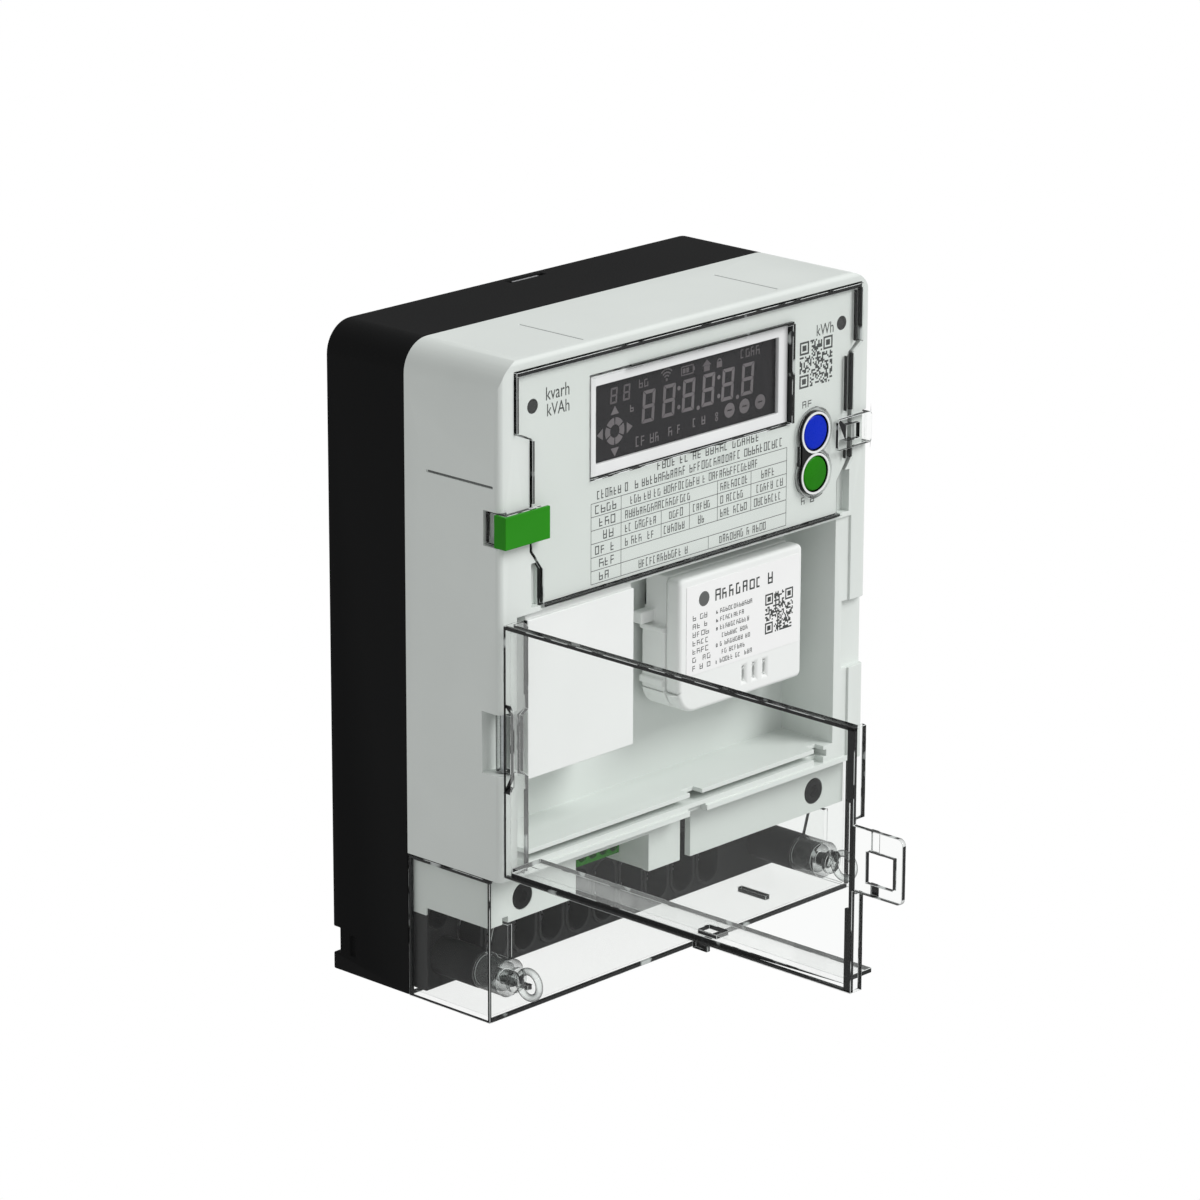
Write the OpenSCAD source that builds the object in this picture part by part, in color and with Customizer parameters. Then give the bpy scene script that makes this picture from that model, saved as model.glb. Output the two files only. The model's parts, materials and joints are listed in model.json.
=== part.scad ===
// Wall-mounted electronic electricity meter.
// X runs left to right, +Y points into the wall, +Z is up.
// The origin is the middle of the back face. Depths are measured from the wall.

/* [Body] */
// Width of the meter
body_w = 178; // [176:1:182]
// Height of the meter
body_h = 222; // [220:1:226]
// Depth of the rear case
rear_d = 35.5; // [35:0.5:36.5]
// Depth from the wall to the front of the housing
front_d = 78; // [78:0.5:80]
// Wall thickness of the mouldings
wall = 2.5; // [2.2:0.1:2.8]
// Radius of the two top corners
corner_r = 10.6; // [9:0.2:12]
// Rounding of the front edges of the housing
front_edge_r = 2; // [1:0.5:2.5]

/* [Terminal cover] */
// Depth from the wall to the front of the clear cover
cover_d = 73; // [72.5:0.5:74]
// Height of the clear cover
cover_h = 49.3; // [48.8:0.1:49.3]
// Wall thickness of the clear cover
cover_t = 1.6; // [1.4:0.1:1.7]
// Height of the screw axes above the bottom edge
seal_screw_z = 12.5; // [11.5:0.5:13]
// Distance of the screw axes from each side
seal_screw_x = 11; // [10.5:0.5:12]

/* [Terminals] */
// Number of terminals
terminal_count = 10; // [6:1:10]
// Distance between terminals
terminal_pitch = 13; // [12.5:0.1:13]
// Place of the right-hand terminal
terminal_right_x = 139.5; // [139:0.5:141]
// Radius of a cable entry
cable_r = 4; // [3.5:0.1:4]

/* [Window] */
// Bottom edge of the clear window
window_bottom = 138.5; // [138.5:0.1:139]
// Top edge of the clear window
window_top = 218; // [216:0.5:218.5]
// Right edge of the window's upper part
window_right = 173.3; // [172.5:0.1:173.5]
// Right edge of the window's lower part
window_low_right = 169; // [168.5:0.1:169.5]
// Thickness of the clear window
window_t = 1.6; // [1.4:0.1:1.8]

/* [Display and buttons] */
// Left and right edges of the display frame
display_x = [42.8, 137.6];
// Bottom and top edges of the display frame
display_z = [176.3, 209.6];
// Widths of the display frame: left, right, bottom and top
display_rim = [2.5, 4.6, 3.9, 3.5];
// Sideways place of the two buttons
button_x = 149.8; // [149.6:0.1:150.2]
// Height of the upper button
menu_z = 170.7; // [170.7:0.1:171]
// Height of the lower button
move_z = 156.4; // [156.2:0.1:156.4]
// Radius of a button
button_r = 6.05; // [5.85:0.05:6.1]
// Travel of a button
button_travel = 1.2; // [0.8:0.1:1.2]

/* [Bay] */
// Left and right faces of the module bay
bay_x = [9.5, 163];
// Bottom and top faces of the module bay
bay_z = [57.5, 137.5];
// Depth from the wall to the back face of the bay
bay_back = 54; // [53:0.5:54.5]

/* [Door] */
// Bottom and top edges of the clear door
door_z = [52, 137];
// Length of the door along its panel
door_len = 147; // [145:1:148]
// Thickness of the door
door_t = 1.6; // [1.4:0.1:1.6]
// Place of the hinge axis from the left side
hinge_x = 5; // [5:0.1:5.2]
// Depth of the hinge axis from the wall
hinge_d = 74.5; // [74.4:0.1:74.6]
// Radius of the hinge pin
pin_r = 1; // [0.9:0.05:1]

/* [Hidden] */
$fn = 64;
fit = 0.1;
gap = 0.3;
front_wall = 3.5;
back_wall = 3;
skirt_d = 71;
skirt_bottom = 31.7;
housing_bottom = 49.6;
floor_t = 2.3;
recess_d = front_d - 0.8;
seal_z = [161.8, 173.4];
notch_z = [83.2, 107.4];
slot_z = [85.7, 106.4];
hinge_block_z = [80, 112];
flange_slot_z = [53.6, 56];
terminal_x = [for (i = [0:terminal_count - 1]) terminal_right_x - i*terminal_pitch];
terminal_z = [4.5, 26];
terminal_w = 9.6;
block_front = 41;
block_z = [1.9, 31];
boss_d = 60;
case_screw_x = [17.3, body_w - 17.3];
case_screw_z = 39.2;
seal_screw_xs = [seal_screw_x, body_w - seal_screw_x];
led_x = [15.6, body_w - 14];
led_z = 205.5;
lcd_d = 75.3;
board_d = 67;
board_t = 1.6;
main_board_d = 40;
door_front = front_d + 1.4;
door_end = door_front + door_len;
strap_pairs = [0, 3, 6];
modem_x = [88.7, 150];
modem_z = [84, 131];
modem_d = [57, 74];
modem_lid_d = 67.5;
modem_step_z = 113.5;
connector_x = [56.7, 77.1];
connector_d = [46, 58];

// ---- Shared building blocks ----

// Moves from the bottom left corner of the back face to the part's origin.
module from_corner() {
  translate([-body_w/2, 0, -body_h/2]) children();
}

// A box between two sides, two depths from the wall and two heights.
module block(x, d, z) {
  translate([x[0], -d[1], z[0]]) cube([x[1] - x[0], d[1] - d[0], z[1] - z[0]]);
}

// A round bar towards the viewer, between two depths.
module rod_out(x, z, r, d) {
  translate([x, -d[0], z]) rotate([90, 0, 0]) cylinder(r = r, h = d[1] - d[0]);
}

// An upright round bar.
module rod_up(x, d, r, z) {
  translate([x, -d, z[0]]) cylinder(r = r, h = z[1] - z[0]);
}

// A front view outline given thickness between two depths.
module plate(d) {
  translate([0, -d[0], 0]) rotate([90, 0, 0]) linear_extrude(d[1] - d[0]) children();
}

// A front view rectangle.
module face(x, z) {
  translate([x[0], z[0]]) square([x[1] - x[0], z[1] - z[0]]);
}

// The case outline, drawn in from its edge: round at the two top corners.
module arch(inset, bottom = 0) {
  r = corner_r - inset;
  right = body_w - inset;
  top = body_h - inset;
  face([inset, right], [bottom, top - r]);
  face([inset + r, right - r], [bottom, top]);
  for (x = [inset + r, right - r]) translate([x, top - r]) circle(r);
}

// A rectangle with four round corners.
module soft_face(x, z, r) {
  face([x[0] + r, x[1] - r], z);
  face(x, [z[0] + r, z[1] - r]);
  for (cx = [x[0] + r, x[1] - r], cz = [z[0] + r, z[1] - r]) translate([cx, cz]) circle(r);
}

// An upright slot with round ends.
module stadium(x, z, w) {
  face([x - w/2, x + w/2], [z[0] + w/2, z[1] - w/2]);
  for (cz = [z[0] + w/2, z[1] - w/2]) translate([x, cz]) circle(w/2);
}

// The outline of the two buttons' common opening.
module button_outline(r) {
  for (z = [menu_z, move_z]) translate([button_x, z]) circle(r);
  face([button_x - r*0.9, button_x + r*0.3], [move_z, menu_z]);
}

// The window's outline: wide above, narrower below, cut away at the lower corners.
module window_outline(inset) {
  left = 6.9 + inset;
  low_left = 14 + inset;
  notch = 5;
  bottom = window_bottom + inset;
  top = window_top - inset;
  right = window_right - inset;
  low_right = window_low_right - inset;
  polygon([
    [left, top], [right, top], [right, 198], [low_right, 195],
    [low_right, 158], [low_right - notch, 151], [low_right - notch, bottom],
    [low_left + notch, bottom], [low_left + notch, 151], [low_left, 158],
    [low_left, 195], [left, 198]
  ]);
}

// ---- Rear case ----

module rear_case() {
  color([0.09, 0.09, 0.09]) from_corner() {
    difference() {
      union() {
        difference() {
          plate([0, rear_d]) arch(0);
          plate([back_wall, rear_d + 1]) arch(wall, 33.5);
          block([wall, body_w - wall], [back_wall, rear_d + 1], [-1, 31.5]);
        }
        for (x = case_screw_x) rod_out(x, case_screw_z, 4, [1, rear_d - 0.5]);
        for (x = [0, body_w - 6]) block([x, x + 6], [0, 8], [3, 18]);
        hanger_guide();
      }
      // Seat of the gasket in the front rim
      plate([rear_d - 1.55, rear_d + 1]) difference() {
        arch(1.2, 32);
        arch(wall + 0.1, 30);
      }
      // Reach for a wall screw behind the hanger's hole
      rod_out(88, body_h - 9, 5.5, [-1, back_wall + 0.2]);
      // Hanger slot in the top
      block([79.7, 96.3], [3, 5.1], [body_h - 12, body_h + 1]);
      // Notches at the lower rear edges
      for (x = [-1, body_w - 3]) block([x, x + 4], [-1, 3], [6, 15]);
      for (x = [-1, body_w - 0.8]) block([x, x + 1.8], [8, 10.3], [6.6, 13.5]);
      // Pilot bores of the case screws
      for (x = case_screw_x) rod_out(x, case_screw_z, 1.6, [6, rear_d + 1]);
      // Wall fixing holes, reached through the terminal block
      for (x = fixing_x()) rod_out(x, fixing_z(), 2.6, [-1, back_wall + 1]);
      // Ways for the current straps
      for (p = strap_pairs, i = [0, 1])
        block([terminal_x[p + i] - 3.4, terminal_x[p + i] + 3.4], [21.5, 26.5], [31, 34]);
    }
  }
}

function fixing_x() = [8.6, body_w - 8.6];
function fixing_z() = 27;

// Two rails and a bridge that hold the sliding hanger.
module hanger_guide() {
  for (x = [[75, 79.7], [96.3, 101]]) block(x, [2.9, 6.6], [160, body_h - 2]);
  block([75, 101], [5.1, 6.6], [160, body_h - 2]);
}

module hanger() {
  color([0.72, 0.74, 0.74]) from_corner() difference() {
    union() {
      block([80, 96], [3.3, 4.8], [166, body_h - 4]);
      block([82, 94], [3.3, 4.8], [body_h - 5, body_h - 0.4]);
    }
    rod_out(88, body_h - 9, 2.75, [0, 8]);
  }
}

module case_gasket() {
  color([0.16, 0.16, 0.16]) from_corner()
    plate([rear_d - 1.5, rear_d - 0.05]) difference() {
      arch(1.3, 32);
      arch(wall, 31);
      face([-1, body_w + 1], [0, 34]);
    }
}

// ---- Front housing ----

// The outer form of the housing above the skirt, with round front edges.
module housing_form() {
  r = front_edge_r;
  intersection() {
    plate([rear_d, front_d]) arch(0, housing_bottom);
    linear_extrude(body_h) {
      translate([0, r - front_d]) square([body_w, front_d - rear_d - r]);
      translate([r, -front_d]) square([body_w - 2*r, r + 1]);
      for (x = [r, body_w - r]) translate([x, r - front_d]) circle(r);
    }
    rotate([90, 0, 90]) linear_extrude(body_w) {
      translate([-front_d, 0]) square([front_d - rear_d, body_h - r]);
      translate([r - front_d, 0]) square([front_d - rear_d - r, body_h]);
      translate([r - front_d, body_h - r]) circle(r);
    }
  }
}

// The skirt that reaches down inside the clear terminal cover.
module skirt() {
  side = cover_t + gap;
  difference() {
    union() {
      block([side, body_w - side], [rear_d, skirt_d], [skirt_bottom, housing_bottom + 1]);
      block([side, body_w - side], [rear_d, 42], [29, skirt_bottom + 1]);
    }
    block([side + wall, body_w - side - wall], [30, skirt_d - wall], [20, housing_bottom]);
    block([side + 0.8, body_w - side - 0.8], [30, 42.4], [20, 31.4]);
    block([8, 10.5], [skirt_d - 5, skirt_d + 1], [20, 34]);
    // Opening in front of the signal connector
    block([42.5, 77.5], [60, skirt_d + 1], [20, 44.9]);
    // Latch slot
    block([93, 98], [60, skirt_d + 1], [20, 46.7]);
  }
  // Solid block beside the signal connector, and its seat
  block([77.5, 93], [50, skirt_d], [32, housing_bottom + 1]);
  block([42.5, 77.5], [41.8, connector_d[0]], [33, housing_bottom + 1]);
}

module front_housing() {
  cavity_top = body_h - wall;
  color([0.82, 0.85, 0.83]) from_corner() difference() {
    union() {
      difference() {
        housing_form();
        intersection() {
          plate([rear_d - 1, front_d - front_wall]) arch(wall, housing_bottom + floor_t);
          block([0, body_w], [0, front_d], [housing_bottom + floor_t, cavity_top]);
        }
      }
      skirt();
      // Walls round the module bay
      block([bay_x[0] - 2, bay_x[1] + 2], [bay_back - 2, front_d - 2],
        [housing_bottom + 1, bay_z[1] + 2]);
      // Backing of the seal slots
      for (x = [[1, 5], [body_w - 5, body_w - 1]]) block(x, [69, front_d - 2], [160, 175.5]);
      // Solid corner that carries the hinge pin
      block([1, bay_x[0]], [64, front_d - 2], hinge_block_z);
      // Bosses of the case screws
      for (x = case_screw_x) rod_out(x, case_screw_z, 5.6, [rear_d + 0.3, skirt_d - 1]);
    }
    // Module bay
    block(bay_x, [bay_back, front_d + 1], bay_z);
    // Slot that takes the door's lower flange, and the step that the door lies in
    block([9, 160], [60, front_d + 1], flange_slot_z);
    block([bay_x[0], 170], [recess_d, front_d + 1], [51.5, bay_z[1]]);
    hinge_sweep();
    block([153.6, 158.4], [73.4, front_d + 1], [51.5, bay_z[0] + 1]);
    // Hinge slot and pin sockets
    block([-1, bay_x[0] + 0.1], [69.8, front_d + 1], slot_z);
    rod_up(hinge_x, hinge_d, pin_r + 0.02, [81, 111]);
    // Sealing lug notch for the closed door, and its latch
    block([166.7, body_w + 1], [front_d - 2.4, front_d + 1], notch_z);
    block([91, 97], [73, front_d + 1], [flange_slot_z[1] - 0.5, bay_z[0] + 1]);
    block([90.3, 98.7], [74.8, front_d + 1], [49, 52]);
    // Side slots for the lugs of the window
    for (x = [[-1, 3.2], [body_w - 3.2, body_w + 1]]) block(x, [70.8, front_d + 1], seal_z);
    // Seat of the window and of the printed plate
    plate([front_d - 1.9, front_d + 1]) window_outline(-0.25);
    // Dark pockets beside the lower window corners
    for (x = [[14.4, 18.9], [window_low_right - 4.9, window_low_right - 0.4]])
      block(x, [front_d - 3, front_d + 1], [139.2, 154]);
    // Openings for the display, the lamps and the buttons
    block(display_x + [-0.2, 0.2], [70, front_d + 1], display_z + [-0.2, 0.2]);
    for (x = led_x) rod_out(x, led_z, 2.6, [70, front_d + 1]);
    for (z = [menu_z, move_z]) rod_out(button_x, z, button_r + 0.3, [70, front_d + 1]);
    // Shallow grooves on the top and the sides
    for (x = [41, 134]) block([x, x + 0.6], [46.5, front_d - 3], [body_h - 0.4, body_h + 1]);
    for (x = [-1, body_w - 0.4]) block([x, x + 1.4], [45.4, front_d - 3], [181, 181.8]);
    // Case screws
    for (x = case_screw_x) {
      rod_out(x, case_screw_z, 1.8, [rear_d - 1, skirt_d + 1]);
      rod_out(x, case_screw_z, 4.6, [skirt_d - 3, skirt_d + 1]);
    }
    // Ways for the clearance of the terminal block's bosses and the hanger guide
    block([bay_connector_x()[0] - 0.2, bay_connector_x()[1] + 0.2], [bay_back - 3, bay_back + 1],
      [bay_connector_z()[0] - 0.2, bay_connector_z()[1] + 0.2]);
  }
}

// Room for the door's hinge wall as it swings round the pin.
module hinge_sweep() {
  intersection() {
    difference() {
      rod_up(hinge_x, hinge_d, 8.8, [51.5, bay_z[1]]);
      rod_up(hinge_x, hinge_d, 4.5, [40, 150]);
    }
    union() {
      block([hinge_x, 15], [hinge_d, front_d + 2], [40, 150]);
      block([hinge_x + 4.3, 15], [hinge_d - 5.6, front_d + 2], [40, 150]);
    }
  }
}

module case_screws() {
  color([0.08, 0.08, 0.08]) from_corner() for (x = case_screw_x) difference() {
    union() {
      rod_out(x, case_screw_z, 4.3, [skirt_d - 3, skirt_d + 0.2]);
      rod_out(x, case_screw_z, 1.5, [8, skirt_d - 3]);
    }
    translate([x, -skirt_d + 1.8, case_screw_z]) rotate([90, 0, 0]) cylinder(r = 2.2, h = 3, $fn = 6);
  }
}

// ---- Window and printed front ----

module window_cover() {
  lug = 18;
  front = front_d - 0.5 + window_t;
  color([0.88, 0.93, 0.95, 0.35]) from_corner() difference() {
    union() {
      plate([front_d - 0.45, front]) window_outline(0);
      // Rims round the edge and round the display
      plate([front_d - 1.85, front_d - 0.4]) difference() {
        window_outline(0);
        window_outline(1.1);
      }
      block(display_x + [-0.9, 0.9], [front_d - 1.85, front_d - 0.4], display_z + [-0.9, 0.9]);
      for (side = [0, 1]) translate([side*body_w, 0, 0]) mirror([side, 0, 0]) {
        plate([front - 0.6, front + 1.2]) soft_face([0.7, lug], seal_z + [0.4, -0.4], 1);
        block([0.7, 2.3], [71.4, front + 0.6], seal_z + [0.6, -0.6]);
      }
    }
    block(display_x + [-0.1, 0.1], [70, 85], display_z + [-0.1, 0.1]);
    plate([70, 85]) button_outline(button_r + 2.4);
    for (x = [7, body_w - 14]) block([x, x + 7], [70, 85], [165, 170.4]);
  }
}

module seal_clip() {
  front = front_d - 0.5 + window_t + 1.3;
  z = [162.2, 173];
  color([0.13, 0.5, 0.05]) from_corner() {
    block([-0.9, 19.4], [front, front + 1.2], z);
    block([-0.9, 0.4], [front_d - 1.6, front + 0.1], z);
    block([7.4, 13.6], [front - 1.4, front + 0.1], [165.4, 170]);
  }
}

module faceplate() {
  color([0.8, 0.83, 0.81]) from_corner() difference() {
    plate([front_d - 1.85, front_d - 0.55]) window_outline(1.2);
    block(display_x + [-1, 1], [70, 85], display_z + [-1, 1]);
    for (z = [menu_z, move_z]) rod_out(button_x, z, button_r + 0.3, [70, 85]);
    for (x = led_x) rod_out(x, led_z, 2.45, [70, 85]);
  }
}

function screen_x(inset) = [display_x[0] + display_rim[0] + inset, display_x[1] - display_rim[1] - inset];
function screen_z(inset) = [display_z[0] + display_rim[2] + inset, display_z[1] - display_rim[3] - inset];

module display_bezel() {
  color([0.78, 0.8, 0.82]) from_corner()
    plate([lcd_d + 0.05, lcd_d + 1.7]) difference() {
      soft_face(display_x, display_z, 0.6);
      soft_face(screen_x(0), screen_z(0), 0.4);
    }
}

module display_lens() {
  color([0.75, 0.8, 0.82, 0.3]) from_corner()
    block(screen_x(0.1), [lcd_d + 0.05, lcd_d + 0.85], screen_z(0.1));
}

module lcd_panel() {
  color([0.16, 0.17, 0.17]) from_corner()
    block([display_x[0] + 0.6, display_x[1] - 0.6], [lcd_d - 2.5, lcd_d],
      [display_z[0] + 0.3, display_z[1] - 0.3]);
}

module backlight() {
  color([0.92, 0.93, 0.9]) from_corner() {
    block([display_x[0] + 1, display_x[1] - 1], [lcd_d - 5.5, lcd_d - 2.5],
      [display_z[0] + 1, display_z[1] - 1]);
    for (x = [display_x[0] + 4, display_x[1] - 8])
      block([x, x + 4], [board_d, lcd_d - 5.5], [display_z[0] + 8, display_z[1] - 8]);
  }
}

// ---- Buttons and lamps ----

module button_bezel() {
  color([0.07, 0.07, 0.07]) from_corner()
    plate([front_d - 0.5, front_d + 1.1]) difference() {
      button_outline(button_r + 1.35);
      for (z = [menu_z, move_z]) translate([button_x, z]) circle(button_r + 0.3);
    }
}

module button_rings() {
  color([0.85, 0.87, 0.87]) from_corner() for (z = [menu_z, move_z])
    plate([front_d + 1.15, front_d + 1.4]) translate([button_x, z]) difference() {
      circle(button_r + 1.05);
      circle(button_r + 0.3);
    }
}

// A button cap with a soft rim, a retaining flange and a stem.
module button(z) {
  profile = [[0, 0], [2, 0], [2, 1], [7, 1], [7, 2], [button_r, 2],
    [button_r, 6.2], [button_r - 0.6, 6.8], [0, 7.1]];
  translate([button_x, 2.1 + front_wall - front_d, z]) rotate([90, 0, 0]) rotate_extrude() intersection() {
    polygon(profile);
    translate([0, -1]) square([20, 20]);
  }
}

module menu_button() {
  color([0.02, 0.12, 0.75]) from_corner() button(menu_z);
}

module move_button() {
  color([0.05, 0.42, 0.12]) from_corner() button(move_z);
}

module keypad_mat() {
  color([0.3, 0.3, 0.32]) from_corner() {
    difference() {
      block([142, 160.5], [board_d + 1.7, board_d + 2.7], [147, 179]);
      for (z = [menu_z, move_z]) rod_out(button_x, z, 2.8, [board_d, board_d + 5]);
    }
    for (x = [142, 159]) block([x, x + 1.5], [board_d + 0.05, board_d + 1.8], [147, 179]);
    for (z = [menu_z, move_z]) translate([button_x, -board_d - 2.7, z]) rotate([90, 0, 0])
      rotate_extrude() polygon([[2.4, -1], [3.4, -1], [3.4, 0], [2.4, 0.9], [0, 0.9], [0, 0.3], [2, 0.3]]);
  }
}

module tact_switches() {
  color([0.2, 0.2, 0.2]) from_corner() for (z = [menu_z, move_z]) {
    block([button_x - 3, button_x + 3], [board_d, board_d + 1.2], [z - 3, z + 3]);
    rod_out(button_x, z, 1.2, [board_d + 1.2, board_d + 1.6]);
  }
}

module led_lenses() {
  color([0.1, 0.08, 0.08]) from_corner() for (x = led_x)
    rod_out(x, led_z, 2.4, [board_d + 2.2, front_d - 0.6]);
}

module pulse_leds() {
  color([0.75, 0.1, 0.08]) from_corner() for (x = led_x) {
    rod_out(x, led_z, 1.5, [board_d + 0.6, board_d + 1.8]);
    block([x - 1.8, x + 1.8], [board_d, board_d + 0.6], [led_z - 1.8, led_z + 1.8]);
  }
}

// ---- Boards and power parts ----

module display_board() {
  color([0.05, 0.32, 0.16]) from_corner() difference() {
    plate([board_d - board_t, board_d]) soft_face([8, body_w - 8], [144, 214], 2);
    for (x = spacer_x(), z = spacer_z()) rod_out(x, z, 1.6, [60, 70]);
  }
}

function spacer_x() = [24, body_w - 24];
function spacer_z() = [150, 198];

module main_board() {
  color([0.05, 0.34, 0.17]) from_corner() difference() {
    plate([main_board_d - board_t, main_board_d]) soft_face([8, body_w - 8], [62, 212], 2);
    for (x = spacer_x(), z = spacer_z()) rod_out(x, z, 1.6, [30, 50]);
  }
}

module board_spacers() {
  color([0.8, 0.66, 0.35]) from_corner() for (x = spacer_x(), z = spacer_z()) {
    rod_out(x, z, 2.8, [main_board_d, board_d - board_t]);
    rod_out(x, z, 1.5, [main_board_d - board_t - 1, main_board_d]);
    rod_out(x, z, 1.5, [board_d - board_t, board_d + 1]);
  }
}

module power_transformer() {
  back = main_board_d - board_t;
  color([0.35, 0.32, 0.3]) from_corner() {
    block([112, 152], [back - 26, back - 4], [170, 204]);
    block([118, 146], [back - 29, back], [176, 198]);
  }
}

module capacitors() {
  back = main_board_d - board_t;
  color([0.12, 0.14, 0.3]) from_corner()
    for (x = [30, 50]) rod_out(x, 186, 8, [back - 28, back]);
}

module backup_battery() {
  back = main_board_d - board_t;
  color([0.75, 0.72, 0.3]) from_corner() {
    translate([24, -back + 9, 158]) rotate([0, 90, 0]) cylinder(r = 7.2, h = 50);
    for (x = [28, 66]) block([x, x + 2], [back - 4, back], [156, 160]);
  }
}

// A brass strap that leaves one terminal, passes the sensor and returns to the next.
module current_straps() {
  color([0.83, 0.62, 0.32]) from_corner() for (p = strap_pairs) {
    left = terminal_x[p + 1];
    right = terminal_x[p];
    for (x = [left, right]) block([x - 3, x + 3], [22.8, 25.2], [24.6, 84]);
    block([left - 3, right + 3], [22.8, 25.2], [84, 87]);
  }
}

module current_sensors() {
  color([0.1, 0.25, 0.45]) from_corner() for (p = strap_pairs)
    translate([terminal_x[p + 1], -24, 56]) rotate_extrude()
      translate([4, 0]) square([5.2, 12]);
}

// ---- Bay and communication module ----

module blank_panel() {
  x = [13.8, 63.4];
  z = [81.4, 137];
  color([0.93, 0.94, 0.94]) from_corner() difference() {
    block(x, [bay_back + 0.1, front_d - 1], z);
    block([x[0] + 2, x[1] - 2], [bay_back, front_d - 3], [z[0] + 2, z[1] - 3.5]);
    block([0, body_w], [front_d - 2.2, front_d], [z[1] - 2, z[1] + 1]);
  }
}

// The modem's outline, stepped in at the upper left.
module modem_outline() {
  difference() {
    soft_face(modem_x, modem_z, 2.2);
    face([modem_x[0] - 1, modem_x[0] + 8], [modem_z[0] - 1, modem_z[0] + 7]);
  }
  translate([modem_x[0] + 8, modem_z[0] + 8]) intersection() {
    circle(8);
    face([-8, 0.1], [-8, 0.1]);
  }
}

module modem_case() {
  back = modem_d[0];
  front = modem_lid_d - 0.1;
  color([0.95, 0.95, 0.95]) from_corner() difference() {
    union() {
      plate([back, front]) difference() {
        modem_outline();
        face([modem_x[0] - 1, modem_x[0] + 1.5], [modem_step_z, modem_z[1] + 1]);
      }
      // Shelf and grip rib on the left
      block([modem_x[0] - 1.4, modem_x[0] + 4], [back, front], [modem_step_z - 1.8, modem_step_z]);
      block([modem_x[0] - 1.5, modem_x[0] + 2], [back, front], [93, 95.6]);
      // Locating peg at the back
      block([modem_x[0] - 5, modem_x[0] + 2], [back + 0.5, back + 4.5], [114.4, 118.6]);
      // Latches and rail on the right
      for (z = [92.6, 118]) block([modem_x[1] - 1, modem_x[1] + 3], [front - 3, front], [z, z + 2.8]);
      block([modem_x[1] - 1, modem_x[1] + 3.6], [back + 4, front - 3], [79.5, 92]);
    }
    plate([back + 2, front + 1]) offset(delta = -2) modem_outline();
    block(header_x() + [-0.1, 0.1], [back - 1, back + 3], header_z() + [-0.1, 0.1]);
  }
}

module modem_lid() {
  color([0.96, 0.96, 0.96]) from_corner() difference() {
    plate([modem_lid_d, modem_d[1]]) modem_outline();
    plate([modem_lid_d - 1, modem_d[1] - 2]) offset(delta = -2) modem_outline();
    for (i = [0:2]) block([120.4 + i*5.2, 121.4 + i*5.2], [70, 80], [89, 94]);
  }
}

module modem_label() {
  color([0.97, 0.97, 0.97]) from_corner()
    block([92, 148], [modem_d[1] + 0.02, modem_d[1] + 0.15], [97, 128]);
}

module modem_board() {
  color([0.06, 0.33, 0.18]) from_corner() {
    block([92, 147], [63, 64.6], [87, 108]);
    block([104, 122], [64.6, 67], [90, 106]);
    block([128, 140], [64.6, 66], [92, 102]);
  }
}

function header_x() = [108, 128];
function header_z() = [94, 102];
function bay_connector_x() = [106, 130];
function bay_connector_z() = [91, 105];

module modem_header() {
  color([0.1, 0.1, 0.1]) from_corner() block(header_x(), [modem_d[0], 62.95], header_z());
}

module bay_connector() {
  color([0.14, 0.14, 0.14]) from_corner() {
    block(bay_connector_x(), [bay_back - 3, modem_d[0] - 0.1], bay_connector_z());
    block([110, 126], [main_board_d, bay_back - 3], [95, 101]);
  }
}

// ---- Clear door, shown open ----

// Places a shape drawn as (across, along, up) on the door: across is measured from the
// outer face towards the meter's middle, along from the housing front towards the free end.
module on_door(a, l, z) {
  block(a, [door_front + l[0], door_front + l[1]], z);
}

module door() {
  hinge_wall = 10;
  end_wall = 5.3;
  flange = 14.5;
  lug_len = 19.5;
  lug_z = [85.2, 106.2];
  color([0.88, 0.93, 0.95, 0.35]) from_corner() difference() {
    union() {
      on_door([0, door_t], [0, door_len], door_z);
      on_door([0, hinge_wall], [0, door_t], door_z);
      on_door([0, end_wall], [door_len - door_t, door_len], door_z);
      on_door([0, 3.2], [0, door_len], [door_z[1] - door_t, door_z[1]]);
      on_door([0, flange], [2.4, door_len - 4], [54, 54 + door_t]);
      // Sealing lug with its rib
      on_door([0, door_t], [door_len - 1, door_len + lug_len - 2], lug_z);
      on_door([0, door_t], [door_len - 1, door_len + lug_len], [lug_z[0] + 2, lug_z[1] - 2]);
      for (z = [lug_z[0] + 2, lug_z[1] - 2])
        translate([0, -door_front - door_len - lug_len + 2, z]) rotate([0, 90, 0])
          cylinder(r = 2, h = door_t);
      on_door([0, door_t + 0.4], [door_len + 6, door_len + 9], lug_z);
      // Latch tongue under the lower edge
      on_door([0, door_t], [82.2, 88.2], [49.9, door_z[0] + 1]);
      // Hinge barrel and the web that carries it
      rod_up(hinge_x, hinge_d, 2.4, slot_z + [0.6, -0.6]);
      block([hinge_x - 1.3, hinge_x + 1.3], [hinge_d, door_front + 1], slot_z + [0.6, -0.6]);
    }
    rod_up(hinge_x, hinge_d, pin_r + fit, [60, 130]);
    // Seal slot in the lug
    on_door([-1, 6], [door_len + 5.2, door_len + 15.8], [89.2, 99.2]);
    // Relief of the end wall beside the lug
    on_door([door_t, 8], [door_len - 3, door_len + 1], [83.8, 107.7]);
    // Latch notch in the lower flange
    on_door([door_t + 1, 8], [82, 90], [50, 58]);
    // The hinge end narrows beside the barrel
    plate([door_front - 1, door_front + 3.2]) {
      polygon([[-1, 80], [0, 81], [3.3, 85.6], [3.3, 106.4], [0, 111], [-1, 112]]);
      polygon([[11, 84], [7.6, 86.6], [7.6, 105.6], [11, 108]]);
    }
    // Corners of the hinge wall
    for (z = [door_z[0], door_z[1]]) translate([hinge_wall, -door_front - 3, z]) rotate([0, 45, 0])
      cube([3, 8, 3], center = true);
  }
}

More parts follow.
